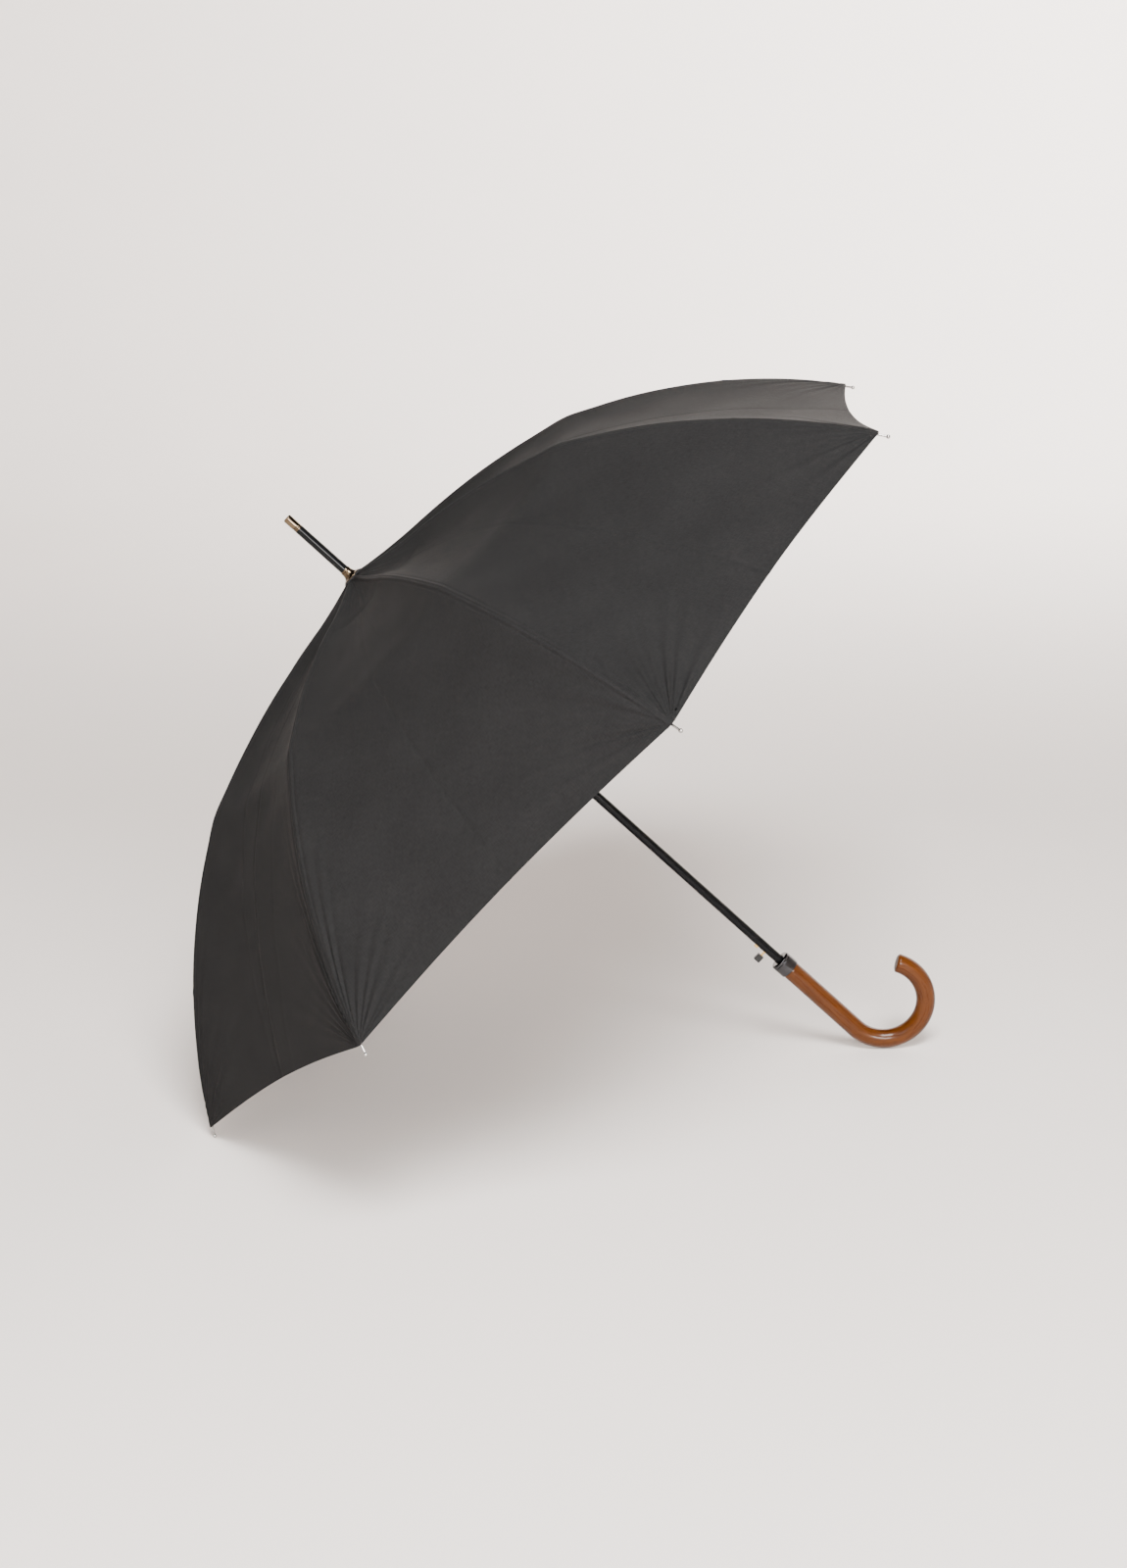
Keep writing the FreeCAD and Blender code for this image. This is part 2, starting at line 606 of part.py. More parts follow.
def main():
    os.makedirs("parts", exist_ok=True)
    nodes = build()
    lay_down(nodes)
    for name, shape in nodes.items():
        shape.exportStep(f"parts/{name}.step")


if __name__ == "__main__":
    main()
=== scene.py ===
"""Looks of the open stick umbrella: cloth canopy, wooden crook, metal fittings, studio and camera.

Shapes are drawn in millimetres in the umbrella's own frame: the crown at the origin, the ferrule
towards +Z, the handle towards -Z, and the crook curling towards +X. A place in a rib's plane is
(radius from the shaft, depth below the crown). world() carries them to the row frame, in metres.
"""

import json
import math

import bmesh
import bpy
import numpy as np
from mathutils import Matrix, Vector

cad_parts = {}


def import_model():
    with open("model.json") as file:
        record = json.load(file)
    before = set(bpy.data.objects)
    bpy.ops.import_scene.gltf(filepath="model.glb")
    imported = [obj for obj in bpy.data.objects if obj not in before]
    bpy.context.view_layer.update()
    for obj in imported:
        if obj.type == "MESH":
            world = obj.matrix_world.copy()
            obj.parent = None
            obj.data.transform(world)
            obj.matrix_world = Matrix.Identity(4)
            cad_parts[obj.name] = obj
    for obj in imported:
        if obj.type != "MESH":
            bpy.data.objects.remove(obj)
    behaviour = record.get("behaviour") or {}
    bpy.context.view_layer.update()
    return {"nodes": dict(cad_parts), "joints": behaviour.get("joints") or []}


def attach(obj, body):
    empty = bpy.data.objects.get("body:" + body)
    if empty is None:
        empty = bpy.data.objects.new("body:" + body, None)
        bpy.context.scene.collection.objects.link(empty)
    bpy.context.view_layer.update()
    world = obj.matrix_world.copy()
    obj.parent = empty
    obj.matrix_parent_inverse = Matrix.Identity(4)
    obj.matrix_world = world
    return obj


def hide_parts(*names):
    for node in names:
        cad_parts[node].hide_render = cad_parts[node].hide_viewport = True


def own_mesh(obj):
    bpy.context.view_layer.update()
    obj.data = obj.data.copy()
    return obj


MM = 0.001
RIBS = 8
HALF_STEP = math.pi / RIBS
SEED = 11

# ---- sizes shared with the CAD, mm
RIB_TIP = (520.0, 268.0)
CROWN_PIVOT_DEPTH = 12.0
CROWN_PIVOT_RADIUS = 9.0
INNER_SLOPE = math.radians(20.0)
OUTER_SLOPE = math.radians(26.0)
CANOPY_CORNER = 9.0
FERRULE_LENGTH = 89.4
CAP_LENGTH = 17.4
CAP_RADIUS = 4.75
CUP_HEIGHT = 10.5
COLLAR_TOP = -607.6
COLLAR_LENGTH = 16.4
COLLAR_RADIUS = 11.4
SHAFT_RADIUS = 4.9
PLATED_TIP = 24.0
PLATING_BLUR = 0.2
SPIGOT_RADIUS = 9.6
HANDLE_RADIUS = 10.1
CUT_END_ROUNDING = 2.4
CROOK_START = -721.5
CROOK_RADIUS = 44.0
CROOK_ANGLE = 208.0
STRAP_RIB = 3
STRAP_SPAN = (110.0, 290.0)
STRAP_HALF_WIDTH = 9.0
SNAP_INSET = 14.0
BUTTON_LOW = (-17.6, -3.1, -594.2)
BUTTON_HIGH = (-9.6, 3.1, -587.0)

# ---- canopy cloth, mm
CLOTH_LIFT = 2.1
JOINT_LIFT = 1.3
JOINT_LIFT_REACH = 20.0
JOINT_ROUNDING = 24.0
CROWN_HOLE = 7.3
CROWN_RISE_RADIUS = 84.0
WASHER_EDGE = 12.0
WASHER_DEPTH = 1.15
RIDGE_ROUNDING = 4.2
SAG = 11.0
SAG_FULL_RADIUS = 105.0
SAG_LOSS_AT_HEM = 0.4
SCALLOP = 10.5
HEM_WIDTH = 6.5
HEM_STEP = 0.3
HEM_ROWS = (8.2, 7.2, 6.9, 6.6, 6.3, 6.0, 5.0, 3.6, 2.2, 1.0, 0.4, 0.0)
HEM_UNDER_ROWS = ((0.2, -0.35), (0.8, -0.55), (3.0, -0.6), (6.0, -0.55))
UNDERLAP = 14.0
UNDERLAP_DROP = 0.12
TIE_RADIUS = 424.0

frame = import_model()
NODES = frame["nodes"]
JOINTS = {joint["name"]: joint for joint in frame["joints"]}


# ---------------------------------------------------------------- the umbrella's own frame


def umbrella_frame():
    """The crown's place and the umbrella's three directions, as the fold joints give them."""
    folds = [JOINTS["canopy_fold"]] + [JOINTS[f"rib_fold_{n}"] for n in range(2, RIBS + 1)]
    pivots = np.array([fold["pos_m"] for fold in folds])
    first, second = np.array(folds[0]["axis"]), np.array(folds[1]["axis"])
    up = np.cross(first, second)
    up /= np.linalg.norm(up)
    first_radial = np.cross(first, up)
    across = math.cos(HALF_STEP) * first_radial - math.sin(HALF_STEP) * first
    across /= np.linalg.norm(across)
    crown = pivots.mean(axis=0) + up * CROWN_PIVOT_DEPTH * MM
    return crown, np.array([across, np.cross(up, across), up])


CROWN, AXES = umbrella_frame()


def world(points):
    """Points of the umbrella's frame, in mm, as places in the row frame, in metres."""
    return CROWN + np.asarray(points, float) * MM @ AXES


def to_vector(point):
    return Vector([float(value) for value in world(point)])


def rib_angle(number):
    return HALF_STEP * (2 * number - 1)


def from_rib(number, radial, tangential, height):
    """Points given in a rib's own directions, in the umbrella's frame."""
    angle = rib_angle(number)
    x = radial * math.cos(angle) - tangential * math.sin(angle)
    y = radial * math.sin(angle) + tangential * math.cos(angle)
    return np.stack(np.broadcast_arrays(x, y, height), axis=-1)


def in_rib_plane(joint):
    """A rib joint's place as (radius, depth)."""
    local = AXES @ (np.array(joint["pos_m"]) - CROWN) / MM
    return math.hypot(local[0], local[1]), -local[2]


class Arc:
    """A circular arc in a rib's plane, leaving its start at a slope below the horizontal."""

    def __init__(self, start, slope, end):
        across, down = end[0] - start[0], end[1] - start[1]
        self.slope = slope
        self.turn = 2 * (math.atan2(down, across) - slope)
        self.radius = math.hypot(across, down) / (2 * math.sin(self.turn / 2))
        self.length = self.radius * self.turn
        self.centre = (
            start[0] - self.radius * math.sin(slope),
            start[1] + self.radius * math.cos(slope),
        )

    def at(self, distance):
        """Radius, depth and slope, a distance along the arc."""
        slope = self.slope + distance / self.radius
        radius = self.centre[0] + self.radius * np.sin(slope)
        return radius, self.centre[1] - self.radius * np.cos(slope), slope


def rib_arcs():
    """The two arcs that a rib follows, which meet at a slight angle at the stretcher's rivet."""
    pivot, rivet = in_rib_plane(JOINTS["canopy_fold"]), in_rib_plane(JOINTS["rib_flex_1"])
    chord = math.atan2(rivet[1] - pivot[1], rivet[0] - pivot[0])
    return Arc(pivot, 2 * chord - INNER_SLOPE, rivet), Arc(rivet, OUTER_SLOPE, RIB_TIP)


INNER_ARC, OUTER_ARC = rib_arcs()
CORNER = OUTER_ARC.length - CANOPY_CORNER


def rib_line(s):
    """The rib's centreline as (radius, depth): s is 0 at the rivet, negative towards the crown."""
    inner = INNER_ARC.at(np.minimum(s, 0) + INNER_ARC.length)
    outer = OUTER_ARC.at(np.maximum(s, 0))
    return [np.where(s < 0, a, b) for a, b in zip(inner[:2], outer[:2])]


def cloth_line(s):
    """Radius, depth and slope along a rib, eased over the slight bend at the rivet."""
    steps = np.linspace(-JOINT_ROUNDING, JOINT_ROUNDING, 9)
    weights = 1 - np.abs(steps) / (JOINT_ROUNDING * 1.25)
    weights /= weights.sum()

    def eased(place):
        return [sum(w * value for w, value in zip(weights, values))
                for values in zip(*(rib_line(place + step) for step in steps))]

    (r, d), before, after = eased(s), eased(s - 1.0), eased(s + 1.0)
    return r, d, np.arctan2(after[1] - before[1], after[0] - before[0])


# ---------------------------------------------------------------- small mesh helpers


def smoothstep(x, low, high):
    t = np.clip((x - low) / (high - low), 0, 1)
    return t * t * (3 - 2 * t)


def shares(count, power=1.0):
    """Shares from 0 to 1, closer together near 0 when the power is above 1."""
    return np.linspace(0, 1, count) ** power


def grid_faces(rows, columns, first=0):
    corner = np.arange((rows - 1) * columns).reshape(rows - 1, columns)[:, :-1].ravel() + first
    return np.stack([corner, corner + 1, corner + columns + 1, corner + columns], axis=1)


def make_mesh(name, points, faces, uv=None, normals=None):
    """A smooth-shaded object from points already in the row frame."""
    mesh = bpy.data.meshes.new(name)
    mesh.from_pydata(np.asarray(points).tolist(), [], np.asarray(faces).tolist())
    mesh.polygons.foreach_set("use_smooth", [True] * len(mesh.polygons))
    if uv is not None:
        layer = mesh.uv_layers.new(name="UVMap")
        corners = np.zeros(len(mesh.loops), int)
        mesh.loops.foreach_get("vertex_index", corners)
        layer.data.foreach_set("uv", np.asarray(uv, np.float32)[corners].ravel())
    if normals is not None:
        mesh.normals_split_custom_set_from_vertices(normals.tolist())
    mesh.update()
    made = bpy.data.objects.new(name, mesh)
    bpy.context.scene.collection.objects.link(made)
    return made


def unit(vectors):
    return vectors / np.linalg.norm(vectors, axis=-1, keepdims=True)


def ring_object(name, rings, uv_scale=(1.0, 1.0), around=1.0):
    """A closed-round skin through rings of points, each an array of (segments, 3) in mm."""
    rings = np.asarray(rings)
    count, segments = rings.shape[:2]
    closed = np.concatenate([rings, rings[:, :1]], axis=1)
    steps = np.linalg.norm(np.diff(rings.mean(axis=1), axis=0), axis=1)
    radial = np.abs(np.diff(np.linalg.norm(rings - rings.mean(axis=1, keepdims=True), axis=2).mean(axis=1)))
    length = np.concatenate([[0], np.cumsum(np.hypot(steps, radial))])
    turn = np.linspace(0, around, segments + 1)
    uv = np.stack(np.meshgrid(turn * uv_scale[0], length * uv_scale[1]), axis=-1)
    return make_mesh(
        name,
        world(closed.reshape(-1, 3)),
        grid_faces(count, segments + 1),
        uv.reshape(-1, 2),
    )


def weld(made, distance=0.00001):
    """Joins the doubled points of a round skin's seam and closed ends; UVs stay on the corners."""
    mesh = bmesh.new()
    mesh.from_mesh(made.data)
    bmesh.ops.remove_doubles(mesh, verts=mesh.verts, dist=distance)
    bmesh.ops.dissolve_degenerate(mesh, edges=mesh.edges, dist=distance / 10)
    bmesh.ops.recalc_face_normals(mesh, faces=mesh.faces)
    mesh.to_mesh(made.data)
    mesh.free()
    return made


def smooth_profile(points, radius=0.5, steps=3):
    """The outline (radius, height) with each inside corner rounded."""
    result = [np.array(points[0], float)]
    for before, corner, after in zip(points, points[1:], points[2:]):
        before, corner, after = (np.array(p, float) for p in (before, corner, after))
        room = min(radius, np.linalg.norm(before - corner) / 2.1, np.linalg.norm(after - corner) / 2.1)
        start = corner + unit(before - corner) * room
        end = corner + unit(after - corner) * room
        for t in np.linspace(0, 1, steps + 1):
            result.append((1 - t) ** 2 * start + 2 * t * (1 - t) * corner + t * t * end)
    result.append(np.array(points[-1], float))
    return np.array(result)


def lathe(name, profile, segments=96):
    """A piece turned about the shaft from an outline of (radius, height)."""
    angle = np.linspace(0, 2 * math.pi, segments, endpoint=False)
    rings = [
        np.stack([r * np.cos(angle), r * np.sin(angle), np.full(segments, z)], axis=1)
        for r, z in profile
    ]
    return weld(ring_object(name, rings))


# ---------------------------------------------------------------- materials


class Shader:
    """A node material built around one Principled shader."""

    def __init__(self, name, color, roughness, **sockets):
        self.material = bpy.data.materials.new(name)
        self.material.use_nodes = True
        self.tree = self.material.node_tree
        self.body = self.tree.nodes["Principled BSDF"]
        self.body.inputs["Base Color"].default_value = (*color, 1)
        self.body.inputs["Roughness"].default_value = roughness
        for socket, value in sockets.items():
            self.body.inputs[socket.replace("_", " ")].default_value = value

    def node(self, kind, **settings):
        made = self.tree.nodes.new("ShaderNode" + kind)
        for key, value in settings.items():
            if key in made.inputs.keys():
                made.inputs[key].default_value = value
            else:
                setattr(made, key, value)
        return made

    def link(self, source, target):
        self.tree.links.new(source, target)
        return source

    def place(self, kind="Object", scale=(1, 1, 1)):
        """Texture coordinates, stretched."""
        coordinates = self.node("TexCoord")
        mapping = self.node("Mapping")
        mapping.inputs["Scale"].default_value = scale
        self.link(coordinates.outputs[kind], mapping.inputs["Vector"])
        return mapping.outputs["Vector"]

    def noise(self, vector, scale, detail=3.0, roughness=0.5, distortion=0.0):
        made = self.node("TexNoise", Scale=scale, Detail=detail, Roughness=roughness)
        made.inputs["Distortion"].default_value = distortion
        self.link(vector, made.inputs["Vector"])
        return made.outputs["Fac"]

    def spread(self, value, low, high, to_low=0.0, to_high=1.0):
        """A value moved from one range to another."""
        made = self.node("MapRange")
        for key, number in zip(("From Min", "From Max", "To Min", "To Max"), (low, high, to_low, to_high)):
            made.inputs[key].default_value = number
        self.link(value, made.inputs["Value"])
        return made.outputs["Result"]

    def math(self, operation, first, second):
        made = self.node("Math", operation=operation)
        for socket, value in zip(made.inputs, (first, second)):
            if isinstance(value, (int, float)):
                socket.default_value = value
            else:
                self.link(value, socket)
        return made.outputs["Value"]

    def mix(self, share, first, second):
        """A colour between two, by a share."""
        made = self.node("Mix", data_type="RGBA")
        self.link(share, made.inputs["Factor"])
        for socket, color in ((made.inputs["A"], first), (made.inputs["B"], second)):
            self._color(made, socket.name, color)
        return made.outputs[2]

    def _color(self, made, name, color):
        socket = [s for s in made.inputs if s.name == name and s.type == "RGBA"][0]
        if isinstance(color, tuple):
            socket.default_value = (*color, 1)
        else:
            self.link(color, socket)

    def color(self, value):
        self.link(value, self.body.inputs["Base Color"])

    def roughness(self, value):
        self.link(value, self.body.inputs["Roughness"])

    def bump(self, height, distance, strength=1.0):
        """Adds relief; later calls stack on the earlier ones."""
        made = self.node("Bump", Strength=strength, Distance=distance)
        self.link(height, made.inputs["Height"])
        normal = self.body.inputs["Normal"]
        if normal.is_linked:
            self.link(normal.links[0].from_socket, made.inputs["Normal"])
        self.link(made.outputs["Normal"], normal)

    def wave(self, vector, axis, period):
        """Threads: a sine along one direction of the UV map."""
        parts = self.node("SeparateXYZ")
        self.link(vector, parts.inputs["Vector"])
        turned = self.math("MULTIPLY", parts.outputs[axis], 2 * math.pi / period)
        return self.math("SINE", turned, 0)


def cloth_material(name, dark, light, thread=0.0011):
    """Satin pongee: fine crossed threads, slightly uneven dye, a soft sheen."""
    shader = Shader(name, dark, 0.5, Specular_IOR_Level=0.007, Sheen_Weight=0.004, Sheen_Roughness=0.4)
    shader.body.inputs["Sheen Tint"].default_value = (0.9, 0.92, 1.0, 1)
    flat = shader.place("UV")
    weft, warp = shader.wave(flat, "X", thread), shader.wave(flat, "Y", thread * 0.8)
    weave = shader.math("MULTIPLY", weft, warp)
    slubs = shader.noise(shader.place("UV", (900, 160, 1)), 1.0, 2.0)
    cross_slubs = shader.noise(shader.place("UV", (160, 900, 1)), 1.0, 2.0)
    uneven = shader.noise(flat, 14.0, 3.0)
    grain = shader.math("ADD", shader.math("MULTIPLY", slubs, 0.5), shader.math("MULTIPLY", cross_slubs, 0.5))
    tone = shader.math("ADD", shader.math("MULTIPLY", grain, 0.75), shader.math("MULTIPLY", uneven, 0.25))
    shader.color(shader.mix(shader.spread(tone, 0.36, 0.64), dark, light))
    shader.roughness(shader.spread(grain, 0.35, 0.65, 0.44, 0.56))
    shader.bump(weave, 0.00006, 0.5)
    shader.bump(grain, 0.0003, 0.5)
    return shader.material


def lacquer_material(name, color, roughness=0.16):
    """Gloss black paint with faint orange peel and hairline scratches."""
    shader = Shader(name, color, roughness, Specular_IOR_Level=0.08, Coat_Weight=0.06, Coat_Roughness=0.04)
    place = shader.place()
    peel = shader.noise(place, 420.0, 2.0)
    dust = shader.noise(place, 55.0, 4.0)
    shader.roughness(shader.spread(dust, 0.35, 0.7, roughness * 0.8, roughness * 1.5))
    shader.bump(peel, 0.00004, 0.35)
    return shader.material


def metal_material(name, color, worn, roughness, grain=900.0):
    """Turned and plated metal: fine lines round the axis, slightly uneven plating."""
    shader = Shader(name, color, roughness, Metallic=1.0)
    place = shader.place()
    plating = shader.noise(place, 90.0, 3.0)
    lines = shader.noise(place, grain, 2.0)
    shader.color(shader.mix(shader.spread(plating, 0.35, 0.7), color, worn))
    shader.roughness(shader.spread(lines, 0.3, 0.7, roughness * 0.75, roughness * 1.3))
    shader.bump(lines, 0.00002, 0.25)
    return shader.material


def plastic_material(name, color, roughness=0.38):
    """Moulded nylon with a fine spark texture."""
    shader = Shader(name, color, roughness, Specular_IOR_Level=0.5)
    place = shader.place()
    texture = shader.noise(place, 1500.0, 2.0)
    tone = shader.noise(place, 60.0, 2.0)
    lighter = tuple(channel * 1.5 for channel in color)
    shader.color(shader.mix(shader.spread(tone, 0.3, 0.7), color, lighter))
    shader.roughness(shader.spread(texture, 0.3, 0.7, roughness * 0.85, roughness * 1.2))
    shader.bump(texture, 0.00005, 0.4)
    return shader.material


def rib_material(name):
    """Black painted steel that turns to bright plated metal at the tips."""
    shader = Shader(name, (0.02, 0.02, 0.022), 0.3, Coat_Weight=0.2)
    tip_start = OUTER_ARC.at(OUTER_ARC.length - PLATED_TIP)[1] * MM
    geometry = shader.node("TexCoord")
    dot = shader.node("VectorMath", operation="DOT_PRODUCT")
    shader.link(geometry.outputs["Object"], dot.inputs[0])
    dot.inputs[1].default_value = [float(-value) for value in AXES[2]]
    depth = shader.math("ADD", dot.outputs["Value"], float(CROWN @ AXES[2]))
    bright = shader.spread(depth, tip_start - PLATING_BLUR * MM, tip_start + PLATING_BLUR * MM)
    tone = shader.noise(shader.place(), 260.0, 3.0)
    paint = shader.mix(shader.spread(tone, 0.3, 0.7), (0.016, 0.016, 0.018), (0.035, 0.035, 0.038))
    shader.color(shader.mix(bright, paint, (0.4, 0.39, 0.38)))
    shader.link(bright, shader.body.inputs["Metallic"])
    shader.roughness(shader.spread(bright, 0, 1, 0.34, 0.2))
    shader.bump(tone, 0.00003, 0.3)
    return shader.material


def wood_material(name):
    """Varnished beech: long grain along the stick, short pores, and a few darker streaks."""
    shader = Shader(name, (0.12, 0.034, 0.007), 0.3, Specular_IOR_Level=0.12, Coat_Weight=0.2, Coat_Roughness=0.07)
    place = shader.place("UV", (1, 1, 1))
    streak = shader.noise(shader.place("UV", (5.0, 9.0, 1)), 1.0, 5.0, 0.6, 0.6)
    grain = shader.noise(shader.place("UV", (26.0, 30.0, 1)), 1.0, 4.0, 0.65, 0.3)
    pores = shader.noise(shader.place("UV", (90.0, 260.0, 1)), 1.0, 2.0, 0.5)
    cloud = shader.noise(place, 16.0, 2.0)
    warm = shader.mix(shader.spread(streak, 0.32, 0.68), (0.044, 0.0108, 0.0013), (0.078, 0.0215, 0.003))
    pale = shader.mix(shader.spread(grain, 0.4, 0.75, 0.0, 0.75), warm, (0.1, 0.031, 0.005))
    dark_pores = shader.spread(pores, 0.58, 0.72, 0.0, 0.55)
    pored = shader.mix(dark_pores, pale, (0.024, 0.006, 0.0012))
    shader.color(shader.mix(shader.spread(cloud, 0.45, 0.8, 0.0, 0.35), pored, (0.036, 0.009, 0.0016)))
    shader.roughness(shader.spread(grain, 0.3, 0.7, 0.24, 0.36))
    shader.bump(pores, 0.00006, 0.3)
    return shader.material


def end_grain_material(name):
    """The crook's cut end: darker stain over close rings."""
    shader = Shader(name, (0.03, 0.009, 0.003), 0.42, Specular_IOR_Level=0.3, Coat_Weight=0.2, Coat_Roughness=0.2)
    rings = shader.noise(shader.place("Object"), 700.0, 4.0, 0.6)
    cloud = shader.noise(shader.place("Object"), 120.0, 2.0)
    base = shader.mix(shader.spread(rings, 0.3, 0.7), (0.018, 0.005, 0.0015), (0.05, 0.015, 0.004))
    shader.color(shader.mix(shader.spread(cloud, 0.4, 0.7, 0, 0.5), base, (0.03, 0.009, 0.0025)))
    shader.bump(rings, 0.0001, 0.4)
    return shader.material


def webbing_material(name):
    """The tie's doubled cloth with lines of stitches near its edges."""
    shader = Shader(name, (0.006, 0.006, 0.0065), 0.6, Specular_IOR_Level=0.1, Sheen_Weight=0.02)
    flat = shader.place("UV")
    ribs = shader.wave(flat, "X", 0.0016)
    grain = shader.noise(shader.place("UV", (700, 200, 1)), 1.0, 2.0)
    shader.color(shader.mix(shader.spread(grain, 0.35, 0.65), (0.017, 0.017, 0.019), (0.04, 0.04, 0.043)))
    shader.bump(ribs, 0.0001, 0.5)
    shader.bump(grain, 0.0002, 0.5)
    return shader.material


def paper_material(name, color):
    """The studio's seamless paper."""
    shader = Shader(name, color, 0.85, Specular_IOR_Level=0.15)
    fibres = shader.noise(shader.place(), 3.0, 4.0)
    darker = tuple(channel * 0.985 for channel in color)
    shader.color(shader.mix(shader.spread(fibres, 0.3, 0.7), darker, color))
    return shader.material


def paint(made, material, slot):
    """Gives a piece or a CAD node its one material."""
    made.data.materials.clear()
    made.data.materials.append(material)
    return made


# ---------------------------------------------------------------- canopy


class Folds:
    """The soft folds that fan out from one corner of a gore, where the cloth is pulled to the rib's tip."""

    def __init__(self, rib, side):
        chance = np.random.default_rng([SEED, rib, side + 1])
        self.angles = np.radians(np.cumsum(chance.uniform(8, 15, 6)))
        self.widths = np.radians(chance.uniform(3.0, 5.5, 6))
        self.heights = chance.uniform(0.35, 1.0, 6)
        self.reaches = chance.uniform(45, 95, 6)
        self.near_rib = chance.uniform(0.3, 0.7)
        self.near_reach = chance.uniform(60, 90)
        if rib == 7:
            self.heights *= 2.3 if side < 0 else 2.0
            self.reaches *= 1.6
        if rib in (5, 6):
            self.near_rib *= 5.0
            self.near_reach *= 1.3
            self.heights *= 1.5

    def height(self, across, back):
        """Relief at a distance across from the rib and back from the corner."""
        distance = np.hypot(across, back)
        angle = np.arctan2(across, np.maximum(back, 0.01))
        relief = np.zeros_like(distance)
        for centre, width, height, reach in zip(self.angles, self.widths, self.heights, self.reaches):
            z = (angle - centre - 0.0006 * distance) / width
            relief += height * self.fade(distance / reach) * (1 - z * z) * np.exp(-z * z / 2)
        for centre in (0.05, 0.12):
            z = (angle - centre) / 0.028
            relief += self.near_rib * self.fade(distance / self.near_reach) * (1 - z * z) * np.exp(-z * z / 2)
        return relief

    @staticmethod
    def fade(share):
        x = share / 0.38
        return x * np.exp(1 - x)


FOLDS = {(rib, side): Folds(rib, side) for rib in range(1, RIBS + 1) for side in (-1, 1)}


def rib_before(rib):
    return (rib - 2) % RIBS + 1


def rib_after(rib):
    return rib % RIBS + 1


def waves(gore, w, s):
    """Slow unevenness of one gore, which dies out at its ribs."""
    chance = np.random.default_rng([SEED, 50 + gore])
    total = np.zeros(np.broadcast(w, s).shape)
    for _ in range(5):
        across, along = chance.uniform(0.6, 2.2), chance.uniform(60, 170)
        phase, turn = chance.uniform(0, 2 * math.pi, 2)
        height = chance.uniform(0.15, 0.45)
        total += height * np.sin(2 * math.pi * (across * w + phase)) * np.sin(2 * math.pi * s / along + turn)
    return total * np.sqrt(np.clip(4 * w * (1 - w), 0, 1))


def pleats(gore, w, radius):
    """Fine gathers round the crown."""
    chance = np.random.default_rng([SEED, 90 + gore])
    total = np.zeros(np.broadcast(w, radius).shape)
    for count in (3, 5, 8):
        height, phase = chance.uniform(0.1, 0.22), chance.uniform(0, 2 * math.pi)
        total += height * np.sin(2 * math.pi * count * w + phase)
    reach = smoothstep(radius, 14, 30) * (1 - smoothstep(radius, 45, 110))
    return total * reach * np.clip(12 * w * (1 - w), 0, 1)


def creases(gore, w, s):
    """The thin lines left by the way the canopy was folded for packing."""
    chance = np.random.default_rng([SEED, 70 + gore])
    total = -0.4 * np.exp(-(((w - 0.5) * 150) ** 2))
    for _ in range(2):
        place, slant = chance.uniform(0.25, 0.75), chance.uniform(-0.0006, 0.0006)
        z = (w - place - slant * s) * 90
        total = total - chance.uniform(0.06, 0.16) * np.exp(-z * z)
    return total * smoothstep(s, -230, -160)


def seam_relief(across, s):
    """The welt beside a rib and the bump of the thread that ties the cloth to it."""
    welt = 0.5 * np.exp(-(((across - 1.9) / 1.1) ** 2)) - 0.4 * np.exp(-(((across - 4.6) / 1.3) ** 2))
    tie_s = OUTER_ARC.radius * (math.asin((TIE_RADIUS - OUTER_ARC.centre[0]) / OUTER_ARC.radius) - OUTER_ARC.slope)
    tie = 0.6 * np.exp(-(((s - tie_s) / 3.5) ** 2) - (across / 3.0) ** 2)
    return welt + tie


def hem_line(share):
    """Where the hem lies: scalloped between the ribs."""
    return CORNER - SCALLOP * (1 - (1 - np.abs(share)) ** 2)


def crown_depth(radius, depth):
    """Draws the cloth up to the washer around the crown."""
    edge = INNER_ARC.at(WASHER_EDGE - CROWN_PIVOT_RADIUS)[1] - CLOTH_LIFT
    near = np.clip((CROWN_RISE_RADIUS - radius) / (CROWN_RISE_RADIUS - WASHER_EDGE), 0, 1)
    return depth - (edge - WASHER_DEPTH) * near**1.8


def half_gore(rib, side, share, s, extra):
    """The cloth from a rib (share 0) to the middle of the gore (share 1), in mm.

    side is +1 towards the next rib and -1 towards the one before; extra lifts the cloth off its place.
    """
    gore = rib if side > 0 else rib_before(rib)
    other = rib_after(rib) if side > 0 else rib_before(rib)
    r, d, slope = cloth_line(s)
    lift = CLOTH_LIFT + JOINT_LIFT * np.exp(-((s / JOINT_LIFT_REACH) ** 2))
    r = r + lift * np.sin(slope)
    d = crown_depth(r, d - lift * np.cos(slope))
    half = r * math.sin(HALF_STEP)
    across = share * half
    rounding = np.minimum(RIDGE_ROUNDING, half / 5)
    t = (np.hypot(across, rounding) - rounding) / (np.hypot(half, rounding) - rounding)
    w = np.abs(share) / 2 if side > 0 else 1 - np.abs(share) / 2
    own = FOLDS[rib, side].height(np.abs(across), CORNER - s)
    far = FOLDS[other, -side].height(2 * half - across, CORNER - s)
    sag = SAG * np.clip(r / SAG_FULL_RADIUS, 0, 1) * (1 - SAG_LOSS_AT_HEM * smoothstep(s, 190, 312))
    relief = (own + far) * smoothstep(np.abs(across), 0, 5) - sag * (1 - np.abs(1 - t) ** 2.7)
    relief = relief + waves(gore, w, s) + pleats(gore, w, r) + creases(gore, w, s)
    relief = relief + seam_relief(np.abs(across), s) + extra
    tilt = np.arctan(np.tan(slope) / math.cos(HALF_STEP))
    out, up = np.sin(tilt) * relief, np.cos(tilt) * relief
    radial = r * (1 - t * math.sin(HALF_STEP) ** 2) + out * math.cos(HALF_STEP)
    tangential = share * r * math.cos(HALF_STEP) * math.sin(HALF_STEP) + out * math.sin(HALF_STEP) * share
    return from_rib(rib, radial, side * tangential, up - d), half


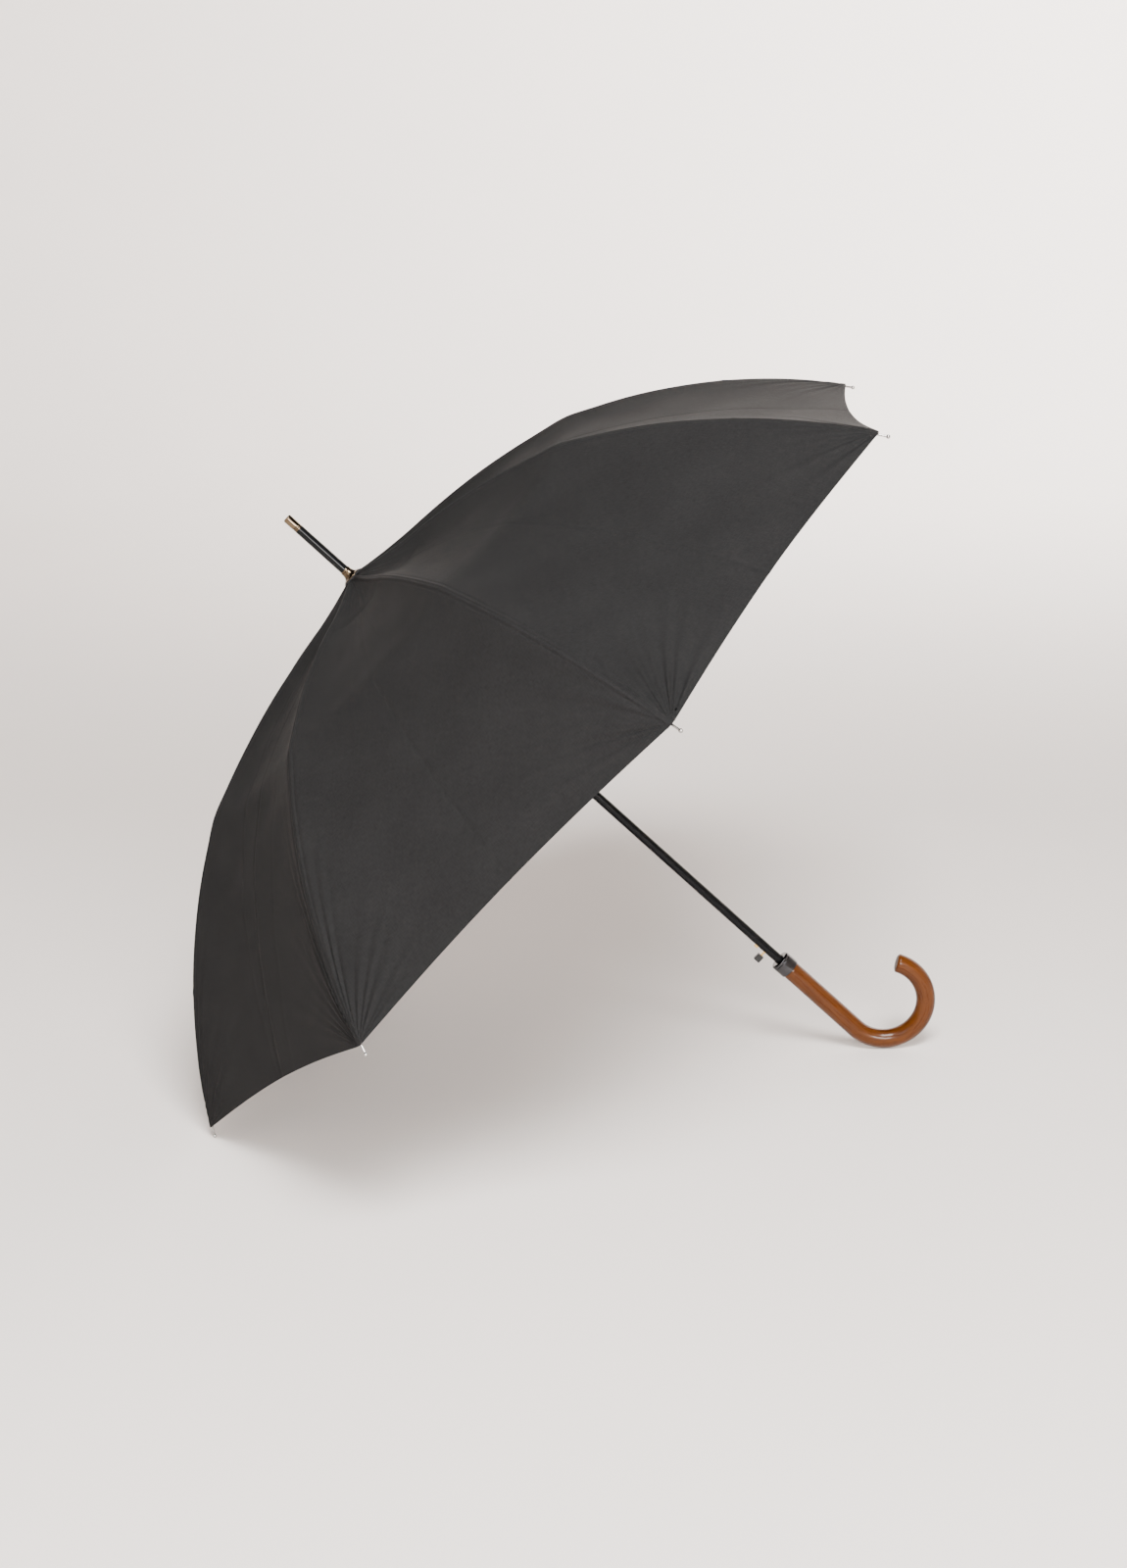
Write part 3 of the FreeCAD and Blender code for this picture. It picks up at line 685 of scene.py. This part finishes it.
def cloth_object(name, rib, side, share, s, extra):
    """Builds the half gore's mesh from its grid, with normals that carry on past its edges."""
    half = rib_line(s)[0] * math.sin(HALF_STEP)
    points, _ = half_gore(rib, side, share, s, extra)
    step, nudge = 0.4, 0.4 / np.maximum(half, 5)
    along = half_gore(rib, side, share, s + step, extra)[0] - half_gore(rib, side, share, s - step, extra)[0]
    across = half_gore(rib, side, share + nudge, s, extra)[0] - half_gore(rib, side, share - nudge, s, extra)[0]
    normals = unit(np.cross(across, along)) * -side
    rows, columns = s.shape
    faces = grid_faces(rows, columns)
    if side > 0:
        faces = faces[:, ::-1]
    uv = np.stack([(1 - share) * half * MM * side, s * MM], axis=-1).reshape(-1, 2)
    places = world(points.reshape(-1, 3))
    return make_mesh(name, places, faces, uv, normals.reshape(-1, 3) @ AXES)


def upper_grid():
    """Rows from the crown's washer to just under the lower piece."""
    start = -INNER_ARC.length - (CROWN_PIVOT_RADIUS - CROWN_HOLE)
    share, s = np.meshgrid(shares(57, 1.3), start + (UNDERLAP - start) * shares(84, 1.1))
    return share, s, -UNDERLAP_DROP * smoothstep(s, -10, 0)


def lower_grid():
    """Rows from the rivets to the hem, and round its edge to the turned-under side."""
    share = shares(97, 1.35)
    main = 1 - shares(112, 1.15)[::-1]
    hem = hem_line(share)
    rows = [share_down * (hem - HEM_ROWS[0] - 1.4) for share_down in main]
    rows += [hem - back for back in HEM_ROWS]
    rows += [hem - back for back, _ in HEM_UNDER_ROWS]
    s = np.array(rows)
    extra = HEM_STEP * (1 - smoothstep(hem - s, HEM_WIDTH - 0.5, HEM_WIDTH + 0.5))
    for row, (_, drop) in zip(range(-len(HEM_UNDER_ROWS), 0), HEM_UNDER_ROWS):
        extra[row] = drop
    return np.broadcast_to(share, s.shape).copy(), s, extra


def fold_axis(rib, side, arc):
    """The direction in which a half gore gathers against its rib, square to the rib's chord."""
    start, end = np.array(arc.at(0.0)[:2]), np.array(arc.at(arc.length)[:2])
    chord = unit(end - start)
    along = np.array([chord[0], 0.0, -chord[1]])
    across = np.array([-math.sin(HALF_STEP), side * math.cos(HALF_STEP), 0.0])
    square = unit(across - along * (across @ along))
    angle = rib_angle(rib)
    turn = np.array([[math.cos(angle), math.sin(angle), 0], [-math.sin(angle), math.cos(angle), 0], [0, 0, 1]])
    return Vector((square @ turn @ AXES).tolist())


def canopy_half(rib, side, part, material):
    """One half gore of cloth, riding on a rib."""
    lower = part == "lower"
    share, s, extra = lower_grid() if lower else upper_grid()
    name = f"canopy_{part}_{rib}{'a' if side < 0 else 'b'}"
    made = paint(cloth_object(name, rib, side, share, s, extra), material, "canopy")
    body = f"rib_outer_{rib}" if lower else f"rib_inner_{rib}"
    arc = OUTER_ARC if lower else INNER_ARC
    r, d, _ = arc.at(arc.length / 2)
    anchor = to_vector(from_rib(rib, r, 0.0, -d))
    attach(made, body)
    if not lower:
        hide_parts(f"canopy_panel_{rib}")
    fold_axis(rib, side, arc)
    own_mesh(made)
    width, length, area = flat_size(share, s)
    return made


def flat_size(share, s):
    """A half gore's cut width, length and area in metres, laid flat."""
    half = rib_line(s)[0] * math.sin(HALF_STEP)
    x, y = share * half * MM, s * MM
    corners = [(slice(None, -1), slice(None, -1)), (slice(None, -1), slice(1, None))]
    corners += [(slice(1, None), slice(1, None)), (slice(1, None), slice(None, -1))]
    area = 0.0
    for (a, b) in zip(corners, corners[1:] + corners[:1]):
        area = area + (x[a] * y[b] - x[b] * y[a]) / 2
    return float(x.max() - x.min()), float(y.max() - y.min()), float(np.abs(area).sum())


def build_canopy():
    material = cloth_material("black_pongee", (0.0112, 0.0111, 0.0113), (0.0168, 0.0166, 0.0168))
    for rib in range(1, RIBS + 1):
        for side in (-1, 1):
            for part in ("upper", "lower"):
                canopy_half(rib, side, part, material)


# ---------------------------------------------------------------- handle and fittings


def crook_path():
    """Centres and directions along the handle, from inside the collar to the crook's end."""
    top = COLLAR_TOP - COLLAR_LENGTH + 6.0
    straight = np.linspace(top, CROOK_START, 60)
    path = [((0.0, 0.0, z), (0.0, 0.0, -1.0)) for z in straight]
    for angle in np.linspace(0, math.radians(CROOK_ANGLE), 160)[1:]:
        x = CROOK_RADIUS * (1 - math.cos(angle))
        z = CROOK_START - CROOK_RADIUS * math.sin(angle)
        path.append(((x, 0.0, z), (math.sin(angle), 0.0, -math.cos(angle))))
    return path


def handle_radius(distance_to_end):
    """The stick's radius, rounded over at the cut end."""
    inside = np.clip(CUT_END_ROUNDING - distance_to_end, 0, CUT_END_ROUNDING)
    return HANDLE_RADIUS - CUT_END_ROUNDING + math.sqrt(max(CUT_END_ROUNDING**2 - inside**2, 0.0))


def build_handle():
    """The varnished stick and its bent crook, with a darker cut end."""
    segments = 72
    path = crook_path()
    centres = np.array([place for place, _ in path])
    steps = np.linalg.norm(np.diff(centres, axis=0), axis=1)
    left = np.concatenate([np.cumsum(steps[::-1])[::-1], [0]])
    angle = np.linspace(0, 2 * math.pi, segments, endpoint=False)
    rings = []
    for (place, direction), distance in zip(path, left):
        forward = np.array(direction)
        side = np.array([0.0, 1.0, 0.0])
        up = np.cross(forward, side)
        radius = SPIGOT_RADIUS if place[2] > COLLAR_TOP - COLLAR_LENGTH and place[0] == 0 else HANDLE_RADIUS
        radius = min(radius, handle_radius(distance))
        rings.append(np.array(place) + radius * (np.outer(np.cos(angle), up) + np.outer(np.sin(angle), side)))
    stick = weld(ring_object("crook_handle", rings, uv_scale=(1.0, MM)))
    paint(stick, wood_material("varnished_beech"), "wood")
    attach(stick, "root")
    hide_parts("handle")
    cap_rings = []
    end_place, end_forward = np.array(path[-1][0]), np.array(path[-1][1])
    up = np.cross(end_forward, [0.0, 1.0, 0.0])
    for share in (1.0, 0.97, 0.8, 0.55, 0.3, 0.1, 0.0):
        radius = (HANDLE_RADIUS - CUT_END_ROUNDING) * share
        dome = 0.25 * (1 - share**2)
        ring = end_place + end_forward * dome
        cap_rings.append(ring + radius * (np.outer(np.cos(angle), up) + np.outer(np.sin(angle), [0.0, 1.0, 0.0])))
    cut_end = weld(ring_object("crook_cut_end", cap_rings, uv_scale=(1.0, MM)))
    paint(cut_end, end_grain_material("stained_end"), "wood")
    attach(cut_end, "root")


def build_collar():
    """The polished collar: bevelled top, a fine bead, and a thin lip on the wood."""
    top, low = COLLAR_TOP, COLLAR_TOP - COLLAR_LENGTH
    r = COLLAR_RADIUS
    outline = [
        (SPIGOT_RADIUS + 0.1, low + 2.0),
        (SPIGOT_RADIUS + 0.55, low),
        (r - 0.4, low),
        (r, low + 0.5),
        (r, top - 4.4),
        (r - 0.35, top - 4.1),
        (r - 0.35, top - 3.8),
        (r, top - 3.5),
        (r, top - 1.4),
        (r - 1.4, top),
        (SHAFT_RADIUS + 1.2, top),
        (SHAFT_RADIUS + 0.15, top - 0.5),
        (SHAFT_RADIUS + 0.05, top - 2.5),
    ]
    collar = lathe("handle_ferrule", smooth_profile(outline, 0.3), 128)
    paint(collar, metal_material("gunmetal", (0.045, 0.045, 0.048), (0.065, 0.065, 0.069), 0.12), "gunmetal")
    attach(collar, "root")
    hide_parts("handle_collar")


def build_cup():
    """The trumpet cup at the ferrule's foot, with a rolled lip and a bead at its neck."""
    outline = [
        (SHAFT_RADIUS + 0.05, 0.2),
        (10.2, 0.05),
        (10.6, 0.35),
        (10.5, 0.9),
        (9.3, 1.35),
        (7.7, 2.2),
        (6.6, 3.6),
        (5.9, 5.3),
        (5.6, 7.0),
        (5.45, 8.2),
        (5.7, 8.6),
        (5.7, 9.3),
        (5.4, 9.7),
        (5.2, CUP_HEIGHT),
        (SHAFT_RADIUS + 0.02, CUP_HEIGHT),
    ]
    cup = lathe("ferrule_cup", smooth_profile(outline, 0.6), 96)
    bronze = metal_material("bronze_plate", (0.1, 0.072, 0.046), (0.15, 0.11, 0.072), 0.16)
    paint(cup, bronze, "gunmetal")
    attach(cup, "root")
    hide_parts("canopy_cup")
    low = FERRULE_LENGTH - CAP_LENGTH
    r = CAP_RADIUS
    cap_outline = [
        (0.0, low),
        (r - 0.1, low),
        (r, low + 0.25),
        (r, low + 1.1),
        (r - 0.32, low + 1.35),
        (r - 0.32, low + 1.85),
        (r, low + 2.1),
        (r, low + 3.1),
        (r - 0.32, low + 3.35),
        (r - 0.32, low + 3.85),
        (r, low + 4.1),
        (r, FERRULE_LENGTH - 1.5),
        (r - 0.45, FERRULE_LENGTH - 0.45),
        (r - 1.5, FERRULE_LENGTH),
        (0.0, FERRULE_LENGTH),
    ]
    cap = lathe("ferrule_tip", smooth_profile(cap_outline, 0.3), 72)
    paint(cap, bronze, "gunmetal")
    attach(cap, "root")
    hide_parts("ferrule_cap")


def build_button():
    """The release button: a block with softened edges and ends."""
    low, high = np.array(BUTTON_LOW), np.array(BUTTON_HIGH)
    centre, size = (low + high) / 2, (high - low) / 2
    rows, segments, squareness = 40, 56, 0.32
    angle = np.linspace(0, 2 * math.pi, segments, endpoint=False)
    ring = np.stack([np.sign(f(angle)) * np.abs(f(angle)) ** squareness for f in (np.cos, np.sin)], axis=1)
    rings = []
    for share in np.linspace(-1, 1, rows):
        inset = max(0.0, abs(share) - 0.86) / 0.14
        scale = math.sqrt(max(1 - inset**2, 0.0)) * 0.16 + 0.84 if inset < 1 else 0.0
        depth = centre[0] + size[0] * share
        y = ring[:, 0] * size[1] * scale
        z = ring[:, 1] * size[2] * scale
        rings.append(np.stack([np.full(segments, depth), centre[1] + y, centre[2] + z], axis=1))
    rings[0] = rings[0] * 0 + rings[0].mean(axis=0)
    rings[-1] = rings[-1] * 0 + rings[-1].mean(axis=0)
    button = weld(ring_object("push_button", rings, uv_scale=(1.0, MM)))
    paint(button, plastic_material("button_plastic", (0.005, 0.005, 0.0055), 0.28), "black_plastic")
    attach(button, "release_catch")
    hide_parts("release_button")


def build_strap():
    """The tie strap, laid along a rib on the far side, with the halves of its press stud."""
    rows, columns = 150, 13
    lift = CLOTH_LIFT + 0.7
    s = np.linspace(*STRAP_SPAN, rows)
    across = np.linspace(-STRAP_HALF_WIDTH, STRAP_HALF_WIDTH, columns)
    s, across = np.meshgrid(s, across, indexing="ij")
    end = np.minimum(s - STRAP_SPAN[0], STRAP_SPAN[1] - s)
    across = across * np.clip(np.sqrt(np.clip(end / 4.0, 0.02, 1)), 0, 1)
    ripple = 0.35 * np.sin(s / 13.0 + across * 0.08) + 0.2 * np.sin(s / 5.7)
    edge = 0.25 * (np.abs(across) / STRAP_HALF_WIDTH) ** 6
    droop = 0.8 * (across / STRAP_HALF_WIDTH) ** 2
    layers = []
    for height in (1.0, 0.1):
        r, d, slope = OUTER_ARC.at(s)
        up = lift + height + ripple + edge - droop
        layers.append(from_rib(STRAP_RIB, r + up * np.sin(slope), across, up * np.cos(slope) - d))
    top, bottom = (layer.reshape(-1, 3) for layer in layers)
    faces = grid_faces(rows, columns).tolist()
    count = rows * columns
    faces += [[i + count for i in face[::-1]] for face in faces]
    rim = [i * columns for i in range(rows)] + [(rows - 1) * columns + j for j in range(1, columns)]
    rim += [i * columns + columns - 1 for i in range(rows - 2, -1, -1)] + list(range(columns - 2, 0, -1))
    for a, b in zip(rim, rim[1:] + rim[:1]):
        faces.append([a, a + count, b + count, b])
    uv = np.stack([np.tile(across.ravel(), 2), np.tile(s.ravel(), 2)], axis=1) * MM
    strap = weld(make_mesh("tie_band", world(np.concatenate([top, bottom])), faces, uv), 0.000001)
    paint(strap, webbing_material("strap_cloth"), "canopy")
    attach(strap, f"rib_outer_{STRAP_RIB}")
    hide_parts("tie_strap")
    snaps = build_snaps(lift)


def build_snaps(lift):
    """Both halves of the press stud: a domed cap with a rolled rim."""
    outline = smooth_profile([(5.2, 0.0), (5.5, 0.3), (5.3, 0.75), (4.3, 0.8), (3.9, 1.1), (0.0, 1.4)], 0.3)
    angle = np.linspace(0, 2 * math.pi, 48, endpoint=False)
    points, faces, first = [], [], 0
    for place in (STRAP_SPAN[0] + SNAP_INSET, STRAP_SPAN[1] - SNAP_INSET):
        r, d, slope = OUTER_ARC.at(place)
        for radius, height in outline:
            up = lift + 1.0 + height
            along = radius * np.cos(angle)
            radial = r + along * math.cos(slope) + up * math.sin(slope)
            depth = d + along * math.sin(slope) - up * math.cos(slope)
            points.append(from_rib(STRAP_RIB, radial, radius * np.sin(angle), -depth))
        ring_faces = grid_faces(len(outline), len(angle), first)
        wrap = np.arange(len(outline) - 1) * len(angle) + first
        seam = np.stack([wrap + len(angle) - 1, wrap, wrap + len(angle), wrap + 2 * len(angle) - 1], axis=1)
        faces += ring_faces.tolist() + seam.tolist()
        first += len(outline) * len(angle)
    snaps = weld(make_mesh("press_studs", world(np.concatenate(points)), faces), 0.000001)
    paint(snaps, metal_material("stud_metal", (0.1, 0.1, 0.105), (0.15, 0.15, 0.155), 0.3), "black_plastic")
    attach(snaps, f"rib_outer_{STRAP_RIB}")
    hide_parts("strap_snaps")
    return snaps


def build_washer():
    """The pinked cloth washer under the cup: its edge is cut in small points."""
    points = []
    segments, teeth = 192, 24
    angle = np.linspace(0, 2 * math.pi, segments, endpoint=False)
    tooth = np.abs(((angle * teeth / (2 * math.pi)) % 1) - 0.5) * 2
    edge = 10.9 + 1.3 * tooth
    curl = 0.25 * np.sin(3 * angle + 0.6)
    profile = [(None, -0.95), (1.0, -0.95), (1.0, -0.55), (0.93, -0.12), (None, -0.08)]
    for share, height in profile:
        radius = np.full(segments, SHAFT_RADIUS + 0.05) if share is None else edge * share
        lift = 0 if share is None else curl * 0.2
        points.append(np.stack([radius * np.cos(angle), radius * np.sin(angle), height + lift + 0 * angle], axis=1))
    washer = weld(ring_object("pinked_washer", points))
    paint(washer, webbing_material("washer_cloth"), "rubber_washer")
    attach(washer, "root")
    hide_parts("canopy_washer")


def finish_cad_nodes():
    """Materials for the CAD pieces that stay as they are."""
    black = lacquer_material("gloss_black_lacquer", (0.004, 0.004, 0.0045))
    nylon = plastic_material("black_nylon", (0.006, 0.006, 0.0065))
    steel = metal_material("bright_wire", (0.34, 0.34, 0.35), (0.26, 0.26, 0.265), 0.25)
    brass = metal_material("brass_leaf", (0.72, 0.5, 0.2), (0.5, 0.33, 0.12), 0.22)
    ribs = rib_material("rib_steel")
    bars = lacquer_material("painted_steel", (0.008, 0.008, 0.009), 0.34)
    finishes = {
        "shaft": (black, "shaft_lacquer"),
        "ferrule_spike": (black, "shaft_lacquer"),
        "crown": (nylon, "black_plastic"),
        "runner": (nylon, "black_plastic"),
        "spring_collar": (nylon, "black_plastic"),
        "crown_wire": (steel, "wire"),
        "runner_wire": (steel, "wire"),
        "spring_collar_wire": (steel, "wire"),
        "opening_spring": (steel, "wire"),
        "catch_leaf": (brass, "brass"),
    }
    for number in range(1, RIBS + 1):
        finishes[f"rib_inner_{number}"] = finishes[f"rib_outer_{number}"] = (ribs, "rib")
        finishes[f"stretcher_{number}"] = finishes[f"spring_strut_{number}"] = (bars, "stretcher")
    for name, (material, slot) in finishes.items():
        paint(NODES[name], material, slot)


# ---------------------------------------------------------------- studio and camera


def build_studio():
    """A round sweep of pale paper: floor, wide bend and wall."""
    floor_reach, bend, wall = 3.9, 1.9, 4.2
    profile = [(0.0, 0.0), (0.8, 0.0), (2.0, 0.0)]
    for turn in np.linspace(0, math.pi / 2, 24):
        profile.append((floor_reach + bend * math.sin(turn), bend * (1 - math.cos(turn))))
    profile.append((floor_reach + bend, wall))
    angle = np.linspace(0, 2 * math.pi, 96, endpoint=False)
    rings = [np.stack([r * np.cos(angle), r * np.sin(angle), np.full(96, z - 0.0004)], axis=1) for r, z in profile]
    points = np.array(rings)
    closed = np.concatenate([points, points[:, :1]], axis=1)
    sweep = make_mesh("paper_sweep", closed.reshape(-1, 3), grid_faces(len(profile), 97))
    weld(sweep, 0.0001)
    sweep.data.materials.append(paper_material("pale_paper", (0.82, 0.765, 0.73)))


def area_light(name, place, target, size, power, color):
    data = bpy.data.lights.new(name, "AREA")
    data.shape = "RECTANGLE"
    data.size, data.size_y = size
    data.energy = power
    data.color = color
    made = bpy.data.objects.new(name, data)
    made.location = place
    made.rotation_euler = (Vector(target) - Vector(place)).to_track_quat("-Z", "Y").to_euler()
    bpy.context.scene.collection.objects.link(made)


def build_lights():
    """Softboxes above, left and in front, and one that washes the wall at the back right."""
    white = (1.0, 0.99, 0.975)
    area_light("high_softbox", (0.4, -2.1, 3.2), (0.0, 0.0, 0.2), (1.5, 1.3), 290, white)
    area_light("left_softbox", (-1.4, -2.9, 2.0), (0.0, 0.0, 0.2), (1.8, 1.6), 30, white)
    area_light("front_softbox", (0.9, -3.5, 1.3), (0.0, 0.0, 0.3), (1.4, 1.0), 175, white)
    area_light("wall_wash", (1.6, 2.6, 3.6), (1.9, 5.8, 2.0), (2.0, 1.2), 640, white)
    world_light = bpy.data.worlds.new("studio_air")
    world_light.use_nodes = True
    background = world_light.node_tree.nodes["Background"]
    background.inputs["Color"].default_value = (0.95, 0.93, 0.91, 1)
    background.inputs["Strength"].default_value = 0.06
    bpy.context.scene.world = world_light


def build_camera():
    """Eye level a little above the umbrella, turned slightly, with a small roll."""
    azimuth, elevation, roll = math.radians(2.71), math.radians(15.84), math.radians(-2.33)
    target, distance, lens = Vector((-0.0062, 0.0, 0.3042)), 2.4783, 54.27
    back = Vector((
        math.sin(azimuth) * math.cos(elevation),
        -math.cos(azimuth) * math.cos(elevation),
        math.sin(elevation),
    ))
    right = Vector((math.cos(azimuth), math.sin(azimuth), 0.0))
    up = back.cross(right)
    rolled_right = right * math.cos(roll) + up * math.sin(roll)
    rolled_up = up * math.cos(roll) - right * math.sin(roll)
    data = bpy.data.cameras.new("camera")
    data.lens, data.sensor_width, data.sensor_fit = lens, 36.0, "AUTO"
    made = bpy.data.objects.new("camera", data)
    turn = Matrix((rolled_right, rolled_up, back)).transposed().to_4x4()
    made.matrix_world = Matrix.Translation(target + back * distance) @ turn
    bpy.context.scene.collection.objects.link(made)
    bpy.context.scene.camera = made


finish_cad_nodes()
build_canopy()
build_handle()
build_collar()
build_cup()
build_button()
build_strap()
build_washer()
build_studio()
build_lights()
build_camera()
